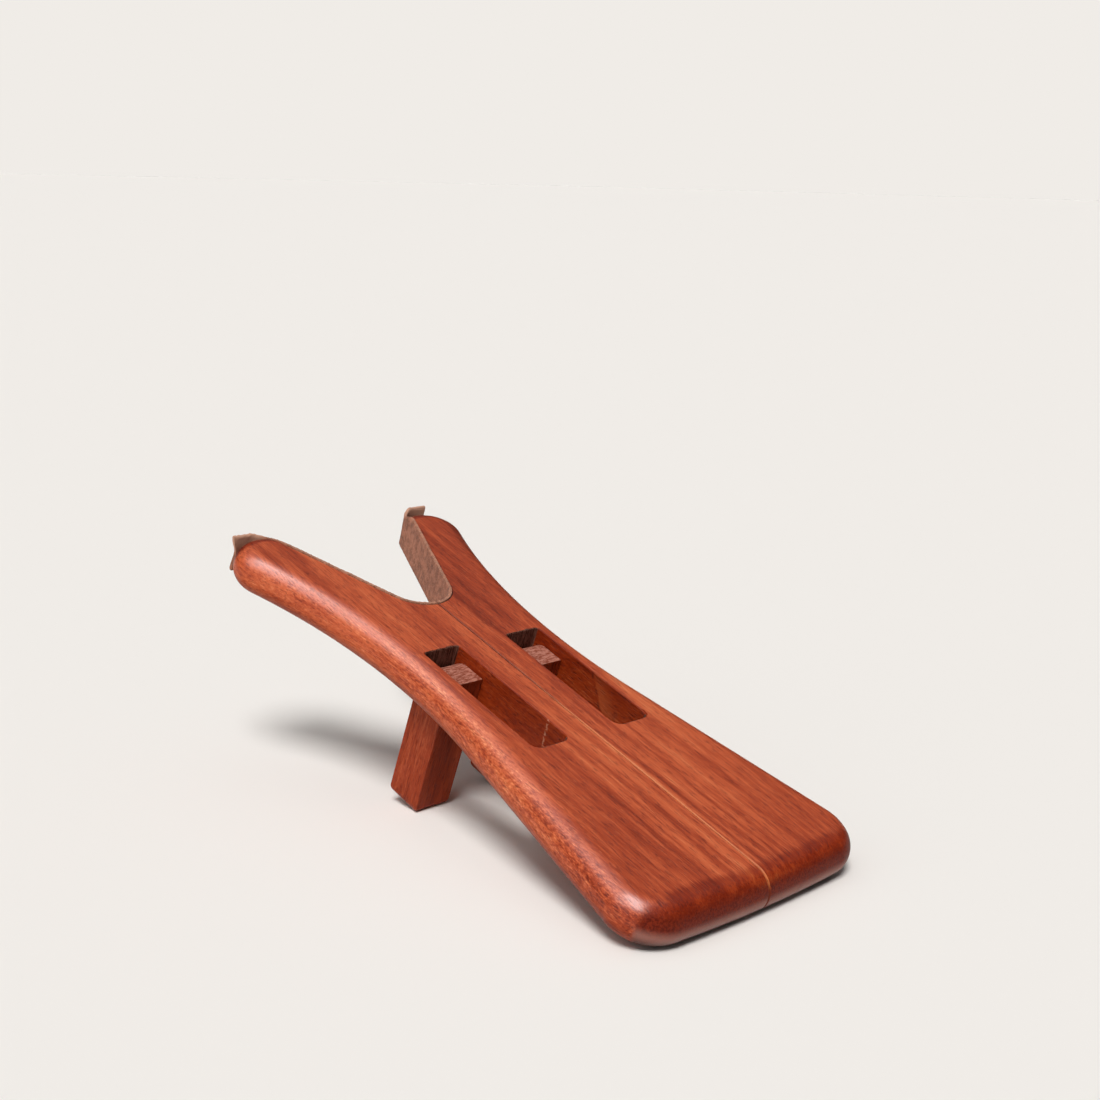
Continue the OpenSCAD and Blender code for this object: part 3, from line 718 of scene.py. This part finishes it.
def board_half(side):
    """A half of the board, cut for its slot, its notch, its leg's pin and its hinge leaves."""
    half = make(f"board_{side}", blank(), side, board_wood[side])
    claim(half, f"{side}_half", f"half_{side}")
    half.data.materials.append(slot_wood)

    slot = make("cutter", slot_cutter(side), side)
    for material in half.data.materials:
        slot.data.materials.append(material)
    for face in slot.data.polygons:
        face.material_index = 1
    shapes = [notch_cutter(), corner_cutter(),
              rod(-CUT_PAST, SLOT_OUT + PIN_BITE + PIN_CLEAR, PIN_BORE_R, "x")]
    for y in HINGE_YS:
        y0, y1 = y - HINGE_L / 2 - LEAF_SEAT, y + HINGE_L / 2 + LEAF_SEAT
        shapes.append(block((-CUT_PAST, y0, -BOARD_T),
                            (LEAF_W + LEAF_SEAT, y1, -EDGE_R + LEAF_T + LEAF_SEAT)))
        shapes.append(rod(y0, y1, KNUCKLE_HOLLOW_R, "y"))
    cutters = [slot] + [make("cutter", shape, side) for shape in shapes]
    for cutter in cutters:
        for face in cutter.data.polygons:
            face.use_smooth = True
    carve(half, cutters)
    soften(half)


def leg_piece(side):
    """The leg as a stack of rectangles: rounded on all sides at the foot, and in front at the head."""
    half_w = LEG_W / 2
    levels = []
    for t in angles(0, math.pi / 2, 9):
        w = half_w - FOOT_R + FOOT_R * math.sin(t)
        levels.append((FOOT_R - LEG_REACH - FOOT_R * math.cos(t), w, -w, w))
    for t in angles(0, math.pi / 2, 7):
        levels.append((LEG_HEAD - LEG_HEAD_R + LEG_HEAD_R * math.sin(t), half_w, -half_w,
                       half_w - LEG_HEAD_R + LEG_HEAD_R * math.cos(t)))
    points = [(LEG_X + x, PIVOT_Y + y, z) for z, w, y0, y1 in levels
              for x, y in ((-w, y0), (w, y0), (w, y1), (-w, y1))]
    faces = [(4 * i + k, 4 * i + (k + 1) % 4, 4 * i + 4 + (k + 1) % 4, 4 * i + 4 + k)
             for i in range(len(levels) - 1) for k in range(4)]
    faces += [(3, 2, 1, 0), tuple(range(len(points) - 4, len(points)))]
    leg = make(f"leg_{side}_wood", (points, faces), side, leg_wood)
    claim(leg, f"{side}_leg", f"leg_{side}")
    carve(leg, [make("cutter", rod(0, 2 * LEG_X, PIN_BORE_R, "x"), side)])
    bevel(leg, LEG_BEVEL, 3)
    soften(leg, 40)


def strip_line():
    """The middle of the lining: along the notch, round the tip's corner, and out to its tail."""
    r = NOTCH_R - GLUE_T - SUEDE_HALF_T
    start = math.asin((SEAM_X + SUEDE_INSET) / r) - math.pi / 2
    line = [(r * math.cos(t), NOTCH_Y + r * math.sin(t)) for t in angles(start, -NOTCH_HALF, 3)]
    line += [(TIP_CORNER[0] + BEND_R * math.cos(t), TIP_CORNER[1] + BEND_R * math.sin(t))
             for t in angles(math.pi - NOTCH_HALF, math.pi / 2, 5)]
    return line + [(TIP_CORNER[0] + SUEDE_TAIL, TIP_CORNER[1] + BEND_R)]


def strip_section():
    """The lining's cross-section, thinner at its cut edges, as points (out of the wall, up)."""
    rows = np.linspace(-EDGE_R, EDGE_R, SUEDE_ROWS)
    inner = rows[1:-1]
    edge_t = SUEDE_HALF_T * 0.6
    return ([(-edge_t, -EDGE_R)] + [(-SUEDE_HALF_T, z) for z in inner] + [(-edge_t, EDGE_R)]
            + [(edge_t, EDGE_R)] + [(SUEDE_HALF_T, z) for z in inner[::-1]] + [(edge_t, -EDGE_R)])


def tail_cut(side, z):
    """How much shorter the tail is at this level: its end was cut by hand."""
    v = z / EDGE_R
    if side == "left":
        return 1.9 * math.exp(-((v + 0.05) / 0.55) ** 2) + 0.9 * max(0.0, -v)
    return 0.5 * (1 - v)


def suede_strip(side):
    """The lining as one bent sheet with a soft, uneven cut edge and a free front end that sags."""
    seed, tail_drop, bend_drop, deepest, spread = SUEDE_SAG[side]
    centre, t = evenly(strip_line(), POINT_STEP)
    length = t[-1]
    tangent = np.gradient(centre, axis=0)
    tangent /= np.linalg.norm(tangent, axis=1)[:, None]
    bend_at = length - SUEDE_TAIL - BEND_R * (math.pi / 2 - NOTCH_HALF)
    section = strip_section()

    points = []
    for at, middle, along in zip(t, centre, tangent):
        out = np.array([-along[1], along[0]])
        loose = clip((at - bend_at + LOOSE_BEFORE_BEND) / LOOSE_WITHIN)
        around_bend = bend_drop * math.exp(-((at - bend_at - deepest) / spread) ** 2)
        along_tail = tail_drop * clip((at - bend_at - TAIL_SAG_AFTER) / TAIL_SAG_WITHIN)
        unevenness = (0.20 * noise.noise(Vector((at * 0.12 + seed, 0, 3)))
                      + 0.30 * noise.noise(Vector((at * 1.3 + seed, 1, 3))) + 0.25)
        near_end = max(0.0, 1 - (length - at) / TAIL_CUT_L)
        for o, z in section:
            moved = o
            if o > 0 or loose > 0:
                wobble = noise.noise(Vector((at * 0.25 + seed, z * 0.25, o)) * 3.0)
                moved += SUEDE_WOBBLE * wobble + loose * (0.5 + 0.5 * z / EDGE_R) * SUEDE_BULGE
            elif o < 0:
                moved -= SUEDE_PRESSED
            sag = max(around_bend, along_tail) * max(0.0, z / EDGE_R)
            rise = max(0.0, (z - (EDGE_R - SUEDE_RIM_H)) / SUEDE_RIM_H) * unevenness - sag
            x, y = middle + out * moved - along * (tail_cut(side, z) * near_end)
            points.append((x, y, z + rise))
    n, rings = len(section), len(t)
    faces = [(i * n + k, i * n + (k + 1) % n, (i + 1) * n + (k + 1) % n, (i + 1) * n + k)
             for i in range(rings - 1) for k in range(n)]
    faces.append(tuple(range(n - 1, -1, -1)))
    faces.append(tuple(range((rings - 1) * n, rings * n)))
    strip = make(f"suede_{side}_strip", (points, faces), side, suede_leather)
    claim(strip, f"{side}_half", f"suede_{side}")
    soften(strip, 60)


def dressed(node, body, slot, width):
    """A metal node with its edges broken by a fine bevel."""
    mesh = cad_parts[node].data.copy()
    mesh.materials.clear()
    mesh.materials.append(metals[slot])
    obj = link(f"{node}_metal", mesh)

    def clean(bm):
        bmesh.ops.remove_doubles(bm, verts=bm.verts, dist=1e-6)
        bmesh.ops.dissolve_limit(bm, angle_limit=math.radians(1), verts=bm.verts, edges=bm.edges)

    edit(mesh, clean)
    claim(obj, body, node)
    bevel(obj, width, 2)
    soften(obj, 35)


for side in ("left", "right"):
    board_half(side)
    leg_piece(side)
    suede_strip(side)
    dressed(f"leg_pin_{side}", f"{side}_half", "steel", METAL_BEVEL)
    for end in ("rear", "front"):
        dressed(f"{end}_hinge_leaf_{side}", f"{side}_half", "brass", METAL_BEVEL)
        dressed(f"{end}_hinge_screws_{side}", f"{side}_half", "brass", SMALL_BEVEL)
for end in ("rear", "front"):
    dressed(f"{end}_hinge_pin", "left_half", "brass", SMALL_BEVEL)

# Studio: a paper floor, a world that the camera sees as the same paper, lamps and the camera
PAPER, WHITE = srgb(240, 236, 231), (1, 1, 1, 1)
FLOOR_HALF = 60.0
SKY_STRENGTH = 0.24

# Each lamp: the direction it comes from, its strength, its spread in degrees, and whether its light is
# diffused. The two whose light isn't are seen in the varnish only
LAMPS = {"key": ((-0.44, -0.36, 0.82), 2.75, 21, True),
         "left": ((-0.87, 0.05, 0.50), 0.40, 60, True),
         "top": ((-0.20, 0.10, 0.97), 0.20, 60, True),
         "sheen_side": ((-0.50, 0.10, 0.86), 2.7, 42, False),
         "sheen_over": ((-0.16, -0.12, 0.98), 3.5, 24, False)}

# The camera, fitted to the photograph's outline, in the flat board's mm and directions
SENSOR_MM, LENS_MM = 36, 55.44
CAMERA_AT = (-425.0, -228.9, 328.0)
LOOK_RIGHT = Vector((0.7171, -0.6492, 0.2535)).normalized()
LOOK_DOWN = Vector((-0.1314, -0.4831, -0.8656))


def studio_floor():
    g = Graph(bpy.data.materials.new("paper"))
    tooth = g.noise(g.place(g.coordinates("Object"), scale=(900, 900, 900)), detail=3)
    material = g.principled({"Base Color": PAPER, "Roughness": 0.9, "Specular IOR Level": 0.0,
                             "Normal": g.bump(tooth, 0.00002, 0.1)})
    mesh = bpy.data.meshes.new("floor")
    corners = [(x * FLOOR_HALF, y * FLOOR_HALF, 0) for x, y in ((-1, -1), (1, -1), (1, 1), (-1, 1))]
    mesh.from_pydata(corners, [], [(0, 1, 2, 3)])
    mesh.materials.append(material)
    link("floor", mesh)


def studio_world():
    """Paper to the camera. To the object it is a soft light that grows from the horizon up."""
    world = bpy.data.worlds.new("studio")
    bpy.context.scene.world = world
    g = Graph(world, "ShaderNodeOutputWorld")
    up = g.parts(g.coordinates("Generated"))[2]
    seen = g.add("ShaderNodeBackground", {"Color": PAPER, "Strength": 1.0})
    sky = g.ramp(up, 0.05, 1.0, 0.0, SKY_STRENGTH, easing="LINEAR")
    lit = g.add("ShaderNodeBackground", {"Color": WHITE, "Strength": sky})
    by_camera = g.add("ShaderNodeLightPath").outputs["Is Camera Ray"]
    g.finish(g.add("ShaderNodeMixShader", {0: by_camera, 1: lit, 2: seen}))


def sun(name, toward, strength, spread_deg, diffused):
    data = bpy.data.lights.new(name, "SUN")
    data.energy = strength
    data.angle = math.radians(spread_deg)
    lamp = link(name, data)
    lamp.rotation_euler = Vector(toward).to_track_quat("Z", "Y").to_euler()
    lamp.visible_diffuse = diffused


def studio_camera():
    data = bpy.data.cameras.new("camera")
    data.sensor_width = SENSOR_MM
    data.lens = LENS_MM
    data.clip_start = 0.01
    data.clip_end = 200
    camera = link("camera", data)
    down = (LOOK_DOWN - LOOK_RIGHT * LOOK_DOWN.dot(LOOK_RIGHT)).normalized()
    ahead = LOOK_RIGHT.cross(down)
    turned = Matrix([TURN @ LOOK_RIGHT, TURN @ -down, TURN @ -ahead]).transposed()
    camera.matrix_world = Matrix.Translation(to_world(CAMERA_AT)[0]) @ turned.to_4x4()
    bpy.context.scene.camera = camera


studio_floor()
studio_world()
for name, settings in LAMPS.items():
    sun(name, *settings)
studio_camera()
